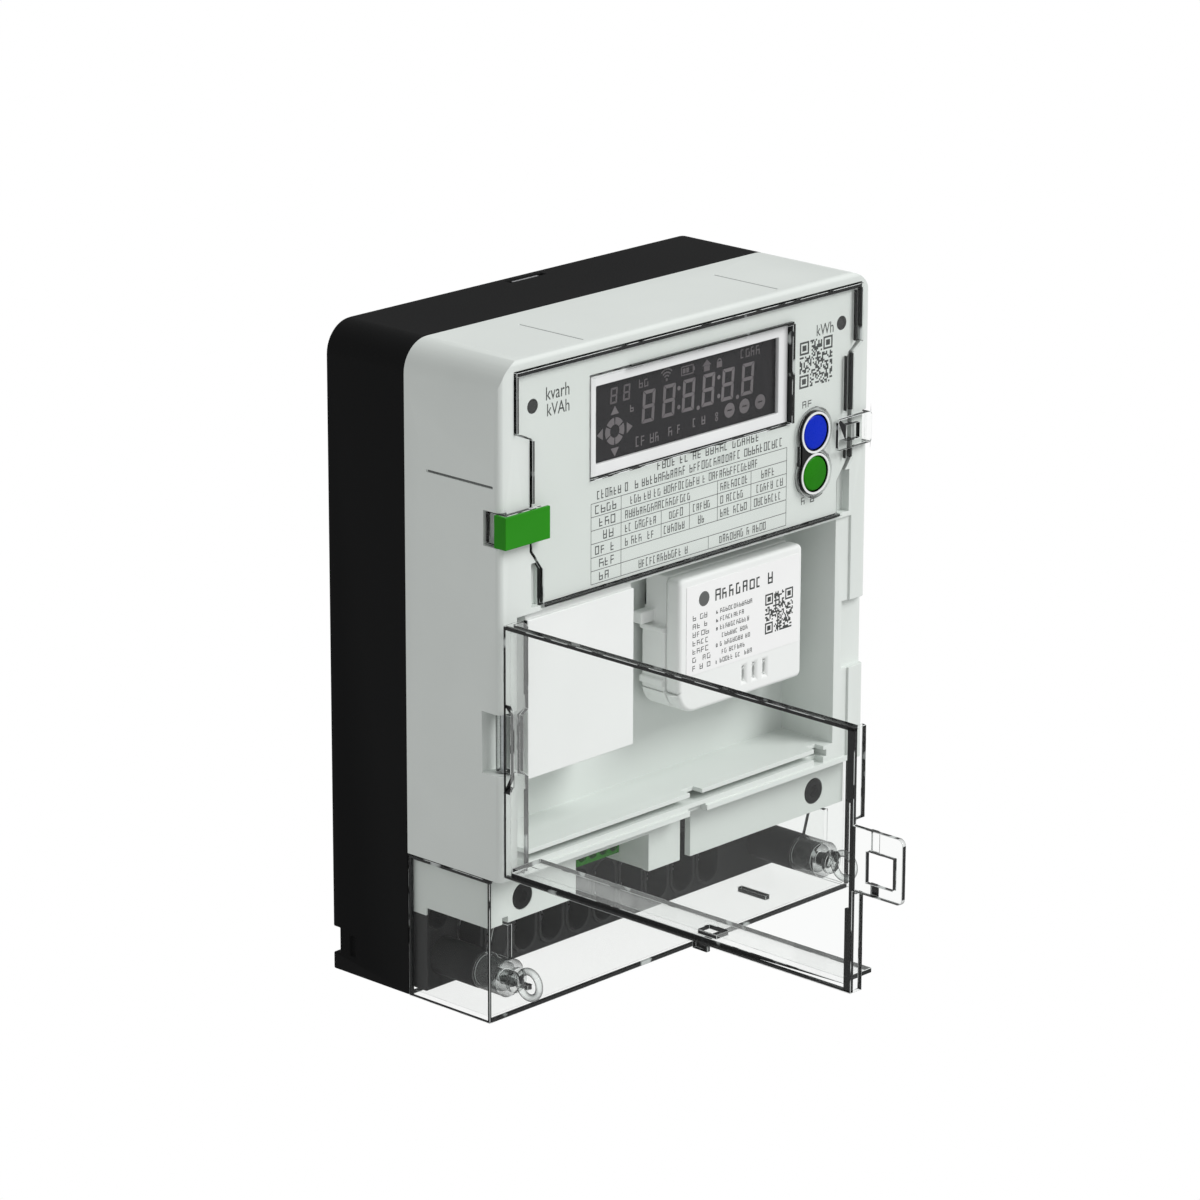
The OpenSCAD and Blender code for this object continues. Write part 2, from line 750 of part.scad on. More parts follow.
module hinge_pin() {
  color([0.75, 0.76, 0.78]) from_corner() rod_up(hinge_x, hinge_d, pin_r, [81.2, 110.8]);
}

// ---- Terminals ----

module terminal_block() {
  color([0.13, 0.13, 0.13]) from_corner() difference() {
    union() {
      block([wall + 0.4, body_w - wall - 0.4], [back_wall + 0.1, block_front], block_z);
      for (x = seal_screw_xs) rod_out(x, seal_screw_z, 6.5, [block_front - 1, boss_d]);
      plate([block_front - 1, block_front + 0.7])
        for (x = terminal_x) stadium(x, terminal_z + [-1.2, 1.2], terminal_w + 2.4);
    }
    for (x = terminal_x) {
      plate([30, block_front + 2]) stadium(x, terminal_z, terminal_w);
      block([x - 4.3, x + 4.3], [17.9, 30.1], [7.9, 25.1]);
      rod_up(x, 24, cable_r, [0, 10]);
    }
    for (p = strap_pairs, i = [0, 1])
      block([terminal_x[p + i] - 3.2, terminal_x[p + i] + 3.2], [22.6, 25.4], [20, 40]);
    for (x = seal_screw_xs) rod_out(x, seal_screw_z, 2.2, [46, boss_d + 1]);
    for (x = fixing_x()) rod_out(x, fixing_z(), 4.6, [0, block_front + 1]);
    // Room for the solid lower corners of the rear case
    for (x = [[0, 6.3], [body_w - 6.3, body_w]]) block(x, [0, 8.3], [0, 18.3]);
  }
}

module terminal_clamps() {
  color([0.8, 0.62, 0.3]) from_corner() for (x = terminal_x) difference() {
    block([x - 4.1, x + 4.1], [18, 30], [8, 24.5]);
    rod_up(x, 24, 3.2, [0, 21]);
    for (z = [10.5, 19.5]) rod_out(x, z, 1.8, [25, 32]);
  }
}

module terminal_screws() {
  color([0.72, 0.73, 0.75]) from_corner() for (x = terminal_x, z = [10.5, 19.5]) difference() {
    union() {
      rod_out(x, z, 3.2, [31, 34.5]);
      rod_out(x, z, 1.7, [27.3, 31]);
    }
    block([x - 4, x + 4], [33.3, 36], [z - 0.4, z + 0.4]);
    block([x - 0.4, x + 0.4], [33.3, 36], [z - 2.4, z + 2.4]);
  }
}

module signal_connector() {
  pitch = 5.08;
  first = connector_x[0] + (connector_x[1] - connector_x[0] - 3*pitch)/2;
  color([0.16, 0.55, 0.1]) from_corner() difference() {
    union() {
      block(connector_x, connector_d, [35.4, 47.5]);
      block([connector_x[0] + 1, connector_x[1] - 1], [connector_d[0], connector_d[1] - 3], [35.4, 49]);
    }
    for (i = [0:3]) {
      rod_out(first + i*pitch, 38.6, 2.05, [49, connector_d[1] + 1]);
      rod_out(first + i*pitch, 44, 1.5, [52, connector_d[1] + 1]);
    }
  }
}

module signal_screws() {
  pitch = 5.08;
  first = connector_x[0] + (connector_x[1] - connector_x[0] - 3*pitch)/2;
  color([0.7, 0.7, 0.72]) from_corner() for (i = [0:3])
    rod_out(first + i*pitch, 44, 1.4, [52, connector_d[1] - 0.8]);
}

// ---- Clear terminal cover and its sealing screws ----

module terminal_cover() {
  color([0.88, 0.93, 0.95, 0.35]) from_corner() difference() {
    union() {
      difference() {
        block([0, body_w], [rear_d + 0.3, cover_d], [0, cover_h]);
        block([cover_t, body_w - cover_t], [30, cover_d - cover_t], [cover_t, 60]);
      }
      for (x = seal_screw_xs) {
        rod_out(x, seal_screw_z, 6.4, [boss_d + 0.5, cover_d]);
        gusset(x);
      }
    }
    for (x = seal_screw_xs) {
      rod_out(x, seal_screw_z, 2.5, [boss_d, cover_d + 1]);
      rod_out(x, seal_screw_z, 5.2, [boss_d, cover_d - 4]);
    }
    // Drain slots in the floor
    for (x = [30, body_w - 30]) block([x, x + 2], [48, 61], [-1, cover_t + 1]);
  }
}

// The web that joins a screw tube to the cover's front wall.
module gusset(x) {
  translate([x - 0.8, 0, seal_screw_z]) rotate([90, 0, 90]) linear_extrude(1.6) polygon([
    [0.5 - cover_d, 4], [0.5 - cover_d, 18.5], [9 - cover_d, 18.5], [12 - cover_d, 6], [12 - cover_d, 4]
  ]);
}

// A captive screw with a ring handle for the seal wire.
module cover_screw(x) {
  color([0.86, 0.92, 0.94, 0.4]) from_corner() {
    rod_out(x, seal_screw_z, 2.1, [48, cover_d + 0.5]);
    rod_out(x, seal_screw_z, 4.2, [cover_d + 0.4, cover_d + 2]);
    translate([x, -cover_d - 7.2, seal_screw_z]) rotate([0, 90, 0]) rotate_extrude()
      translate([4.5, 0]) circle(1.25);
    rod_out(x, seal_screw_z, 1.6, [cover_d + 2, cover_d + 3.4]);
  }
}

module cover_screw_left() {
  cover_screw(seal_screw_xs[0]);
}

module cover_screw_right() {
  cover_screw(seal_screw_xs[1]);
}

rear_case();
hanger();
case_gasket();
front_housing();
case_screws();
window_cover();
seal_clip();
faceplate();
display_bezel();
display_lens();
lcd_panel();
backlight();
button_bezel();
button_rings();
menu_button();
move_button();
keypad_mat();
tact_switches();
led_lenses();
pulse_leds();
display_board();
main_board();
board_spacers();
power_transformer();
capacitors();
backup_battery();
current_sensors();
current_straps();
blank_panel();
modem_case();
modem_lid();
modem_label();
modem_board();
modem_header();
bay_connector();
door();
hinge_pin();
terminal_block();
terminal_clamps();
terminal_screws();
signal_connector();
signal_screws();
terminal_cover();
cover_screw_left();
cover_screw_right();
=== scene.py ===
import json
import math
import random

import bmesh
import bpy
from mathutils import Matrix, Vector


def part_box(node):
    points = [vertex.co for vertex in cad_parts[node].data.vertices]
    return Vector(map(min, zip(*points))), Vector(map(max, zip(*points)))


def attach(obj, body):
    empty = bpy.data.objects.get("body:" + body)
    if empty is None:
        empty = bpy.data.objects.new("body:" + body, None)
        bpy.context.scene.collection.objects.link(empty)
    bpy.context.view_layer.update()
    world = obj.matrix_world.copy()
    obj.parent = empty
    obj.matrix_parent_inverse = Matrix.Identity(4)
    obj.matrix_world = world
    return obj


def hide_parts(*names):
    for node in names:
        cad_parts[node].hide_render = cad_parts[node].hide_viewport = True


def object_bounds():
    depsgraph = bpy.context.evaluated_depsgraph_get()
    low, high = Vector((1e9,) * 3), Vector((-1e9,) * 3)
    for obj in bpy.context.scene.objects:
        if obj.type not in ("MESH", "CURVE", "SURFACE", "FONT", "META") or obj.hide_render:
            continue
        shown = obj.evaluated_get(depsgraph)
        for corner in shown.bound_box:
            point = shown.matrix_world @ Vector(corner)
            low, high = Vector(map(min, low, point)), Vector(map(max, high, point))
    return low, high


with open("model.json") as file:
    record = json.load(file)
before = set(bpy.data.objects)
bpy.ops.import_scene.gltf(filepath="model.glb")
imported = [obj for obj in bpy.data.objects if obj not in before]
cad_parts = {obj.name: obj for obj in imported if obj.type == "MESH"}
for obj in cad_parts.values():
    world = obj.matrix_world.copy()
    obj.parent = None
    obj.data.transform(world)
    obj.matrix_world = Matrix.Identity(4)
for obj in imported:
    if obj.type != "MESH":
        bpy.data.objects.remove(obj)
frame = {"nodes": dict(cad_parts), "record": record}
cad_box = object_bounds()
nodes = frame["nodes"]
node_body = {name: body for body, names in frame["record"]["behaviour"]["bodies"].items() for name in names}

# ---- Places ----
# Sizes in this script are millimetres, counted from the meter's bottom left corner on the wall.

MM = 0.001
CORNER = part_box("rear_case")[0]


def at(x, depth, z):
    """The point x to the right, depth out from the wall and z up, in the frame's metres."""
    return Vector((CORNER.x + x * MM, -depth * MM, CORNER.z + z * MM))


def span(name):
    """A CAD node's left and right, back and front, bottom and top, in this script's millimetres."""
    low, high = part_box(name)
    return (
        ((low.x - CORNER.x) / MM, (high.x - CORNER.x) / MM),
        (-high.y / MM, -low.y / MM),
        ((low.z - CORNER.z) / MM, (high.z - CORNER.z) / MM),
    )


# ---- Materials ----


class Shader:
    """A material's node tree, with short calls for the nodes that the finishes share."""

    def __init__(self, name):
        self.material = bpy.data.materials.new(name)
        self.material.use_nodes = True
        self.tree = self.material.node_tree
        self.surface = self.tree.nodes["Principled BSDF"]
        self.output = self.tree.nodes["Material Output"]
        self.place = self.add("ShaderNodeTexCoord").outputs["Object"]

    def add(self, kind, **inputs):
        node = self.tree.nodes.new(kind)
        for key, value in inputs.items():
            socket = node.inputs[key.replace("_", " ")]
            if isinstance(value, bpy.types.NodeSocket):
                self.tree.links.new(value, socket)
            else:
                socket.default_value = value
        return node

    def noise(self, size, detail=2.0, stretch=(1, 1, 1)):
        """Noise with blobs of about that size in mm, drawn out along an axis by stretch below 1."""
        mapping = self.add("ShaderNodeMapping", Vector=self.place, Scale=stretch)
        return self.add(
            "ShaderNodeTexNoise", Vector=mapping.outputs[0], Scale=1 / (size * MM), Detail=detail
        ).outputs["Fac"]

    def ramp(self, value, low, high, out_low=0.0, out_high=1.0):
        node = self.add("ShaderNodeMapRange", Value=value)
        for socket, number in zip(node.inputs[1:5], (low, high, out_low, out_high)):
            socket.default_value = number
        return node.outputs[0]

    def blend(self, factor, a, b):
        node = self.tree.nodes.new("ShaderNodeMix")
        node.data_type = "RGBA"
        for index, value in ((0, factor), (6, a), (7, b)):
            if isinstance(value, bpy.types.NodeSocket):
                self.tree.links.new(value, node.inputs[index])
            else:
                node.inputs[index].default_value = value if index == 0 else (*value, 1)
        return node.outputs[2]

    def join(self, factor, a, b):
        node = self.tree.nodes.new("ShaderNodeMixShader")
        self.tree.links.new(factor, node.inputs[0])
        self.tree.links.new(a, node.inputs[1])
        self.tree.links.new(b, node.inputs[2])
        return node.outputs[0]

    def set(self, **inputs):
        for key, value in inputs.items():
            socket = self.surface.inputs[key.replace("_", " ")]
            if isinstance(value, bpy.types.NodeSocket):
                self.tree.links.new(value, socket)
            else:
                socket.default_value = value

    def bump(self, height, depth, strength=0.6):
        return self.add(
            "ShaderNodeBump", Height=height, Distance=depth * MM, Strength=strength
        ).outputs[0]

    def show(self, surface):
        self.tree.links.new(surface, self.output.inputs["Surface"])
        return self.material


def scaled(colour, factor):
    return tuple(min(1.0, c * factor) for c in colour)


def moulded(
    name, colour, rough, grain=0.5, relief=0.02, mottle=0.04, wear=0.15, shine=0.3, metal=0.0, coat=0.0
):
    """A moulded, plated or printed finish: cloudy colour, a fine grain and lighter rubbed edges."""
    s = Shader(name)
    clouds = s.ramp(s.noise(26, 3), 0.3, 0.7)
    base = s.blend(clouds, scaled(colour, 1 - mottle), scaled(colour, 1 + mottle))
    edges = s.ramp(s.add("ShaderNodeNewGeometry").outputs["Pointiness"], 0.53, 0.62, 0, wear)
    base = s.blend(edges, base, scaled([c + 0.05 for c in colour], 1.25))
    fine = s.noise(grain, 2)
    s.set(
        Base_Color=base,
        Roughness=s.ramp(fine, 0.3, 0.7, max(0.02, rough - 0.05), min(1.0, rough + 0.05)),
        Metallic=metal,
        Specular_IOR_Level=shine,
        Coat_Weight=coat,
        Coat_Roughness=0.08,
        Normal=s.bump(fine, relief),
    )
    return s.material


def brushed(name, colour, rough):
    """A plated metal with fine drawn lines."""
    s = Shader(name)
    lines = s.noise(0.35, 3, stretch=(1, 1, 0.06))
    spots = s.ramp(s.noise(5, 3), 0.35, 0.75)
    s.set(
        Base_Color=s.blend(spots, scaled(colour, 0.86), colour),
        Roughness=s.ramp(lines, 0.3, 0.7, rough - 0.08, rough + 0.08),
        Metallic=1.0,
        Normal=s.bump(lines, 0.01),
    )
    return s.material


FACE_ON_GLINT = 0.012


def clear(name, tint, haze, glint, outline_shade):
    """See-through plastic: clear face on, with reflections and a painted shade that darkens it towards its
    outline.
    """
    s = Shader(name)
    through = s.add("ShaderNodeBsdfTransparent", Color=(*tint, 1)).outputs[0]
    cloud = s.ramp(s.noise(14, 2), 0.3, 0.7, haze * 0.85, haze * 1.15)
    milk = s.add("ShaderNodeBsdfDiffuse", Color=(0.93, 0.95, 0.94, 1)).outputs[0]
    body = s.join(cloud, through, milk)
    outline = s.add("ShaderNodeLayerWeight", Blend=0.5).outputs["Facing"]
    # Painted shade: a near-black diffuse mixed in towards the outline, standing in for the dark rims that
    # refraction gives.
    dark = s.add("ShaderNodeBsdfDiffuse", Color=(0.02, 0.022, 0.022, 1)).outputs[0]
    body = s.join(s.ramp(outline, 1 - outline_shade, 1.0, 0, 0.92), body, dark)
    mirror = s.add(
        "ShaderNodeBsdfGlossy", Roughness=0.06, Normal=s.bump(s.noise(3, 2), 0.01, 0.3)
    ).outputs[0]
    grazing = s.add("ShaderNodeMath")
    grazing.operation = "POWER"
    grazing.inputs[1].default_value = 4
    s.tree.links.new(outline, grazing.inputs[0])
    return s.show(s.join(s.ramp(grazing.outputs[0], 0, 1, FACE_ON_GLINT, glint), body, mirror))


def clear_edge(name, dark, pale, length, share):
    """The cut edge of a clear sheet, painted: a dark base of painted shade, with short bright stretches of
    painted highlight where light leaks out.
    """
    s = Shader(name)
    streaks = s.noise(length, 1)
    bright = s.ramp(streaks, share, share + 0.05)
    s.set(
        Base_Color=s.blend(bright, dark, pale),
        Roughness=s.ramp(s.noise(0.8), 0.3, 0.7, 0.08, 0.2),
        Specular_IOR_Level=0.3,
        Normal=s.bump(s.noise(1.5), 0.02),
    )
    return s.material


WHITE = (0.86, 0.88, 0.865)
INK = (0.045, 0.05, 0.048)
finish = {
    "black_plastic": moulded("black_plastic", (0.0062, 0.0064, 0.0066), 0.62, relief=0.03, shine=0.06),
    "zinc_steel": brushed("zinc_steel", (0.74, 0.75, 0.77), 0.32),
    "gasket_rubber": moulded("gasket_rubber", (0.03, 0.03, 0.031), 0.85, grain=0.3, shine=0.2),
    "housing_plastic": moulded("housing_plastic", (0.712, 0.752, 0.724), 0.5, relief=0.016, mottle=0.015),
    "clear_plastic": clear("clear_plastic", (0.988, 0.992, 0.989), 0.006, 0.3, 0.04),
    "green_plastic": moulded("green_plastic", (0.016, 0.245, 0.002), 0.42, mottle=0.05, shine=0.12),
    "printed_plastic": moulded("printed_plastic", (0.735, 0.775, 0.745), 0.4, relief=0.008, mottle=0.012),
    "bezel_silver": moulded("bezel_silver", (0.84, 0.85, 0.85), 0.18, relief=0.004, shine=0.6, coat=0.5),
    "lens_glass": clear("lens_glass", (0.97, 0.97, 0.975), 0.002, 0.35, 0.02),
    "lcd_dark": moulded(
        "lcd_dark", (0.014, 0.0135, 0.0145), 0.35, grain=0.2, relief=0.002, mottle=0.2, shine=0.1
    ),
    "light_guide": moulded("light_guide", (0.9, 0.91, 0.88), 0.3),
    "gloss_black": moulded("gloss_black", (0.004, 0.004, 0.0045), 0.16, relief=0.004, shine=0.25),
    "pale_ring": moulded("pale_ring", (0.8, 0.82, 0.815), 0.3, relief=0.004, shine=0.5),
    "blue_plastic": moulded("blue_plastic", (0.001, 0.02, 0.46), 0.3, mottle=0.18, shine=0.1),
    "green_button": moulded("green_button", (0.015, 0.21, 0.002), 0.3, mottle=0.18, shine=0.1),
    "lamp_dark": moulded("lamp_dark", (0.006, 0.007, 0.0065), 0.12, relief=0.003, coat=0.4),
    "lamp_red": moulded("lamp_red", (0.55, 0.03, 0.02), 0.2, coat=0.5),
    "board_green": moulded("board_green", (0.012, 0.13, 0.055), 0.45, grain=1.2, relief=0.03),
    "brass": brushed("brass", (0.78, 0.56, 0.27), 0.3),
    "transformer_core": moulded("transformer_core", (0.09, 0.08, 0.075), 0.5, grain=0.8, metal=0.4),
    "capacitor_sleeve": moulded("capacitor_sleeve", (0.012, 0.02, 0.09), 0.3, coat=0.3),
    "battery_sleeve": moulded("battery_sleeve", (0.5, 0.48, 0.1), 0.35, coat=0.3),
    "sensor_blue": moulded("sensor_blue", (0.02, 0.09, 0.32), 0.5),
    "white_plastic": moulded("white_plastic", WHITE, 0.45, relief=0.01, mottle=0.012),
    "paper_label": moulded("paper_label", (0.88, 0.885, 0.88), 0.7, grain=0.25, relief=0.006, mottle=0.01),
    # The terminal block's edges, the wells' rims among them, are drawn much lighter than its body.
    "terminal_black": moulded("terminal_black", (0.02, 0.0205, 0.021), 0.6, relief=0.04, wear=0.9, shine=0.1),
}
# Round bars: a strong painted shade darkens them towards their outline.
clear_rod = clear("clear_rod", (0.95, 0.965, 0.96), 0.05, 0.9, 0.88)
clear_milk = clear("clear_milk", (0.99, 0.993, 0.99), 0.16, 0.3, 0.02)
clear_floor = clear("clear_floor", (0.985, 0.988, 0.985), 0.03, 0.12, 0.0)
# Cut edges of clear sheets: near-black painted shade, with stretches of painted highlight.
cut_edge_shade = clear_edge("cut_edge_shade", (0.008, 0.009, 0.009), (0.55, 0.58, 0.57), 8, 0.66)
# Rounded corners of clear parts: painted highlight, with short dark stretches of painted shade.
edge_glint = clear_edge("edge_glint", (0.8, 0.83, 0.82), (0.02, 0.02, 0.02), 7, 0.54)
# Bars of painted shade, near black with stretches of painted highlight, inside the clear parts' edges.
shade_line = clear_edge("shade_line", (0.004, 0.005, 0.005), (0.5, 0.53, 0.52), 11, 0.68)
front_ink = moulded("front_ink", INK, 0.6, grain=0.2, relief=0.004, mottle=0.2)
thin_ink = moulded("thin_ink", (0.1, 0.105, 0.103), 0.6, grain=0.2, relief=0.004, mottle=0.1)
lcd_mark = moulded("lcd_mark", (0.16, 0.148, 0.15), 0.4, grain=0.3, relief=0.001, mottle=0.2)
lcd_faint = moulded("lcd_faint", (0.115, 0.104, 0.107), 0.4, grain=0.3, relief=0.001, mottle=0.2)

slot_of = {}
for name, node in nodes.items():
    slot_of[name] = node.data.materials[0].name.split(".")[0]
    node.data.materials[0] = finish[slot_of[name]]


# ---- Pieces made from the CAD shells ----


def add_piece(name, mesh, body, materials):
    piece = bpy.data.objects.new(name, mesh)
    bpy.context.scene.collection.objects.link(piece)
    mesh.materials.clear()
    for material in materials:
        mesh.materials.append(material)
    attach(piece, body)
    return piece


def smooth(piece, angle=35):
    piece.data.polygons.foreach_set("use_smooth", [True] * len(piece.data.polygons))
    piece.data.set_sharp_from_angle(angle=math.radians(angle))
    piece.modifiers.new("normals", "WEIGHTED_NORMAL").keep_sharp = True


# The materials of a clear part: its sheets, their cut edges in painted shade, round bars with a painted dark
# outline, rounded corners in painted highlight, milky faces, and the terminal cover's floor
SHEET, EDGE, ROD, GLINT, MILK, BASE = range(6)


def clear_part(face):
    """Whether a face of a clear part is part of a sheet, its cut edge or a round bar."""
    width = 2 * face.calc_area() / face.calc_perimeter()
    longest = sorted(face.edges, key=lambda e: e.calc_length())[-2:]
    bend = min(e.calc_face_angle(0) for e in longest)
    if width < 1.3 * MM and bend < math.radians(30):
        return ROD
    return EDGE if width < 1.75 * MM else SHEET


# A face whose normal has more than this along an axis faces along it.
SQUARE_ON = 0.9
HINGE_WALL_REACH = 11 * MM
FLANGE_TOP = 56 * MM
COVER_FLOOR = 2 * MM
WIDE_FACE = 30 * MM * MM


def show_window(face):
    """The cut through the window on the right of the display is painted as one dark band of shade."""
    off = abs(face.calc_center_median().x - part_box("display_bezel")[1].x)
    return EDGE if face.normal.x < -SQUARE_ON and off < 0.3 * MM else None


def show_cover(face):
    """The floor of the terminal cover stays clear at a flat angle."""
    height = face.calc_center_median().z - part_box("terminal_cover")[0].z
    return BASE if abs(face.normal.z) > SQUARE_ON and height < COVER_FLOOR else None


def show_door(face):
    """The hinge wall and the lower flange of the door look milky."""
    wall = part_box("door")[1].y
    middle = face.calc_center_median()
    hinge = abs(face.normal.y) > SQUARE_ON and middle.y > wall - HINGE_WALL_REACH
    flange = abs(face.normal.z) > SQUARE_ON and middle.z - CORNER.z < FLANGE_TOP
    return MILK if face.calc_area() > WIDE_FACE and (hinge or flange) else None


SHOWN = {"window_cover": show_window, "terminal_cover": show_cover, "door": show_door}


def dress(name, radius=0.25, segments=2):
    """A finer copy of a CAD shell, with its sharp edges rounded, which stands for it."""
    clear_shell = slot_of[name] == "clear_plastic"
    bm = bmesh.new()
    bm.from_mesh(nodes[name].data)
    bmesh.ops.remove_doubles(bm, verts=bm.verts, dist=0.0005 * MM)
    bmesh.ops.dissolve_limit(bm, angle_limit=math.radians(0.6), verts=bm.verts, edges=bm.edges)
    if clear_shell:
        special = SHOWN.get(name, lambda face: None)
        for face in bm.faces:
            kind = special(face)
            face.material_index = clear_part(face) if kind is None else kind
    sharp = [e for e in bm.edges if len(e.link_faces) == 2 and e.calc_face_angle(0) > math.radians(40)]
    bmesh.ops.bevel(
        bm, geom=sharp, offset=radius * MM, segments=segments, profile=0.5, affect="EDGES",
        clamp_overlap=False, material=GLINT if clear_shell else -1,
    )
    mesh = bpy.data.meshes.new(name + "_shell")
    bm.to_mesh(mesh)
    bm.free()
    slot = slot_of[name]
    looks = [finish[slot]]
    if clear_shell:
        looks += [cut_edge_shade, clear_rod, edge_glint, clear_milk, clear_floor]
    indices = [p.material_index for p in mesh.polygons]
    piece = add_piece(name + "_shell", mesh, node_body[name], looks)
    mesh.polygons.foreach_set("material_index", indices if clear_shell else [0] * len(indices))
    smooth(piece)
    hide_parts(name)
    return piece


ROUNDED = {
    "rear_case": 0.5, "front_housing": 0.13, "hanger": 0.15, "case_screws": 0.2, "window_cover": 0.12,
    "seal_clip": 0.2, "display_bezel": 0.3, "button_bezel": 0.15, "menu_button": 0.25,
    "move_button": 0.25, "blank_panel": 0.35, "modem_case": 0.6, "modem_lid": 1.5, "door": 0.14,
    "terminal_cover": 0.14, "terminal_block": 0.3, "cover_screw_left": 0.12, "cover_screw_right": 0.12,
    "signal_connector": 0.15,
}
for name, radius in ROUNDED.items():
    dress(name, radius, 4 if radius > 0.5 else 2)


# ---- Painted shade: dark lines inside the clear parts' edges and in the housing's grooves ----


def edge_lines(name, body, look, boxes):
    """Bars in a clear part or a groove, each given by two sides, two depths and two heights."""
    bm = bmesh.new()
    for x, d, z in boxes:
        low, high = at(x[0], d[1], z[0]), at(x[1], d[0], z[1])
        made = bmesh.ops.create_cube(bm, size=1)["verts"]
        for v in made:
            v.co = Vector([low[i] if v.co[i] < 0 else high[i] for i in range(3)])
    bmesh.ops.bevel(bm, geom=bm.edges[:], offset=0.08 * MM, segments=1, affect="EDGES")
    mesh = bpy.data.meshes.new(name)
    bm.to_mesh(mesh)
    bm.free()
    return add_piece(name, mesh, body, [look])


# Sideways across the thickness of the door's panel and of the cover's left wall
PANEL = (0.15, 1.45)
DOOR_DEPTH = (79.9, 226.25)
DOOR_END = (223.4, 226.25)
HINGE_FRONT = (9.2, 9.8)
# Bars of painted shade, with short painted highlights, along the clear door's edges and hinge wall.
edge_lines("door_lines", "door", shade_line, [
    (PANEL, DOOR_DEPTH, (135.7, 136.85)),
    (PANEL, DOOR_DEPTH, (52.15, 52.9)),
    (PANEL, DOOR_END, (52.2, 79)),
    (PANEL, (224.9, 226.25), (79, 113)),
    (PANEL, DOOR_END, (113, 136.8)),
    ((0.1, 0.6), (79.5, 80.1), (52.3, 136.8)),
    (HINGE_FRONT, (79.5, 80.7), (52.3, 80)),
    (HINGE_FRONT, (79.5, 80.7), (112, 136.8)),
])

HOUSING_X = span("front_housing")[0]
GROOVE_DEPTH = (47, 75.5)
GROOVE_TOP = (221.61, 221.85)
GROOVE_SIDE = (181.1, 181.7)
# Painted shade at the bottom of the housing's grooves: dark grey bars.
groove_shade = moulded("groove_shade", (0.13, 0.14, 0.135), 0.7, mottle=0.2)
edge_lines("groove_lines", "meter", groove_shade, [
    ((41.05, 41.55), GROOVE_DEPTH, GROOVE_TOP),
    ((134.05, 134.55), GROOVE_DEPTH, GROOVE_TOP),
    ((HOUSING_X[0] + 0.15, HOUSING_X[0] + 0.39), (46, 75.5), GROOVE_SIDE),
    ((HOUSING_X[1] - 0.39, HOUSING_X[1] - 0.15), (46, 75.5), GROOVE_SIDE),
])

COVER_DEPTH = (36, 72.85)
COVER_FRONT = (71.6, 72.9)
COVER_RIGHT = span("terminal_cover")[0][1]
# Bars of painted shade along the clear terminal cover's edges.
edge_lines("cover_lines", "terminal_cover", shade_line, [
    (PANEL, COVER_DEPTH, (48.1, 49.15)),
    (PANEL, (36, 36.7), (0.2, 48)),
    ((0.1, 0.6), COVER_DEPTH, (0.1, 0.7)),
    ((0.15, 0.9), (71.9, 72.9), (0.2, 48)),
    ((1.0, COVER_RIGHT - 1), COVER_FRONT, (0.1, 1.3)),
    ((1.0, COVER_RIGHT - 1), COVER_FRONT, (48.6, 49.2)),
    ((COVER_RIGHT - 1.2, COVER_RIGHT - 0.2), COVER_FRONT, (1.4, 48.4)),
])

# Bars of painted shade in the window's edges, among them a painted shadow band to the right of and above the
# display.
WINDOW_DEPTH = (77.75, 79)
WINDOW_LINES = [
    ((8, 172.2), (216.7, 217.8)),
    ((7.15, 7.9), (198.3, 216.5)),
    ((14.2, 15), (174, 194.5)),
    ((171.9, 172.9), (198.5, 216.5)),
    ((167.6, 168.7), (175, 194.5)),
    ((167.6, 168.7), (158.5, 161.5)),
    ((20, 163), (138.7, 139.3)),
    ((137.9, 139.1), (176, 210)),
    ((60, 138.5), (210.2, 210.8)),
    ((169.7, 170.2), (198.5, 216)),
    ((165.2, 165.6), (158.5, 161.5)),
    ((165.2, 165.6), (175, 194)),
    ((17.2, 17.6), (142, 152)),
]
edge_lines("window_lines", "meter", shade_line, [(x, WINDOW_DEPTH, z) for x, z in WINDOW_LINES])


# ---- Prints ----


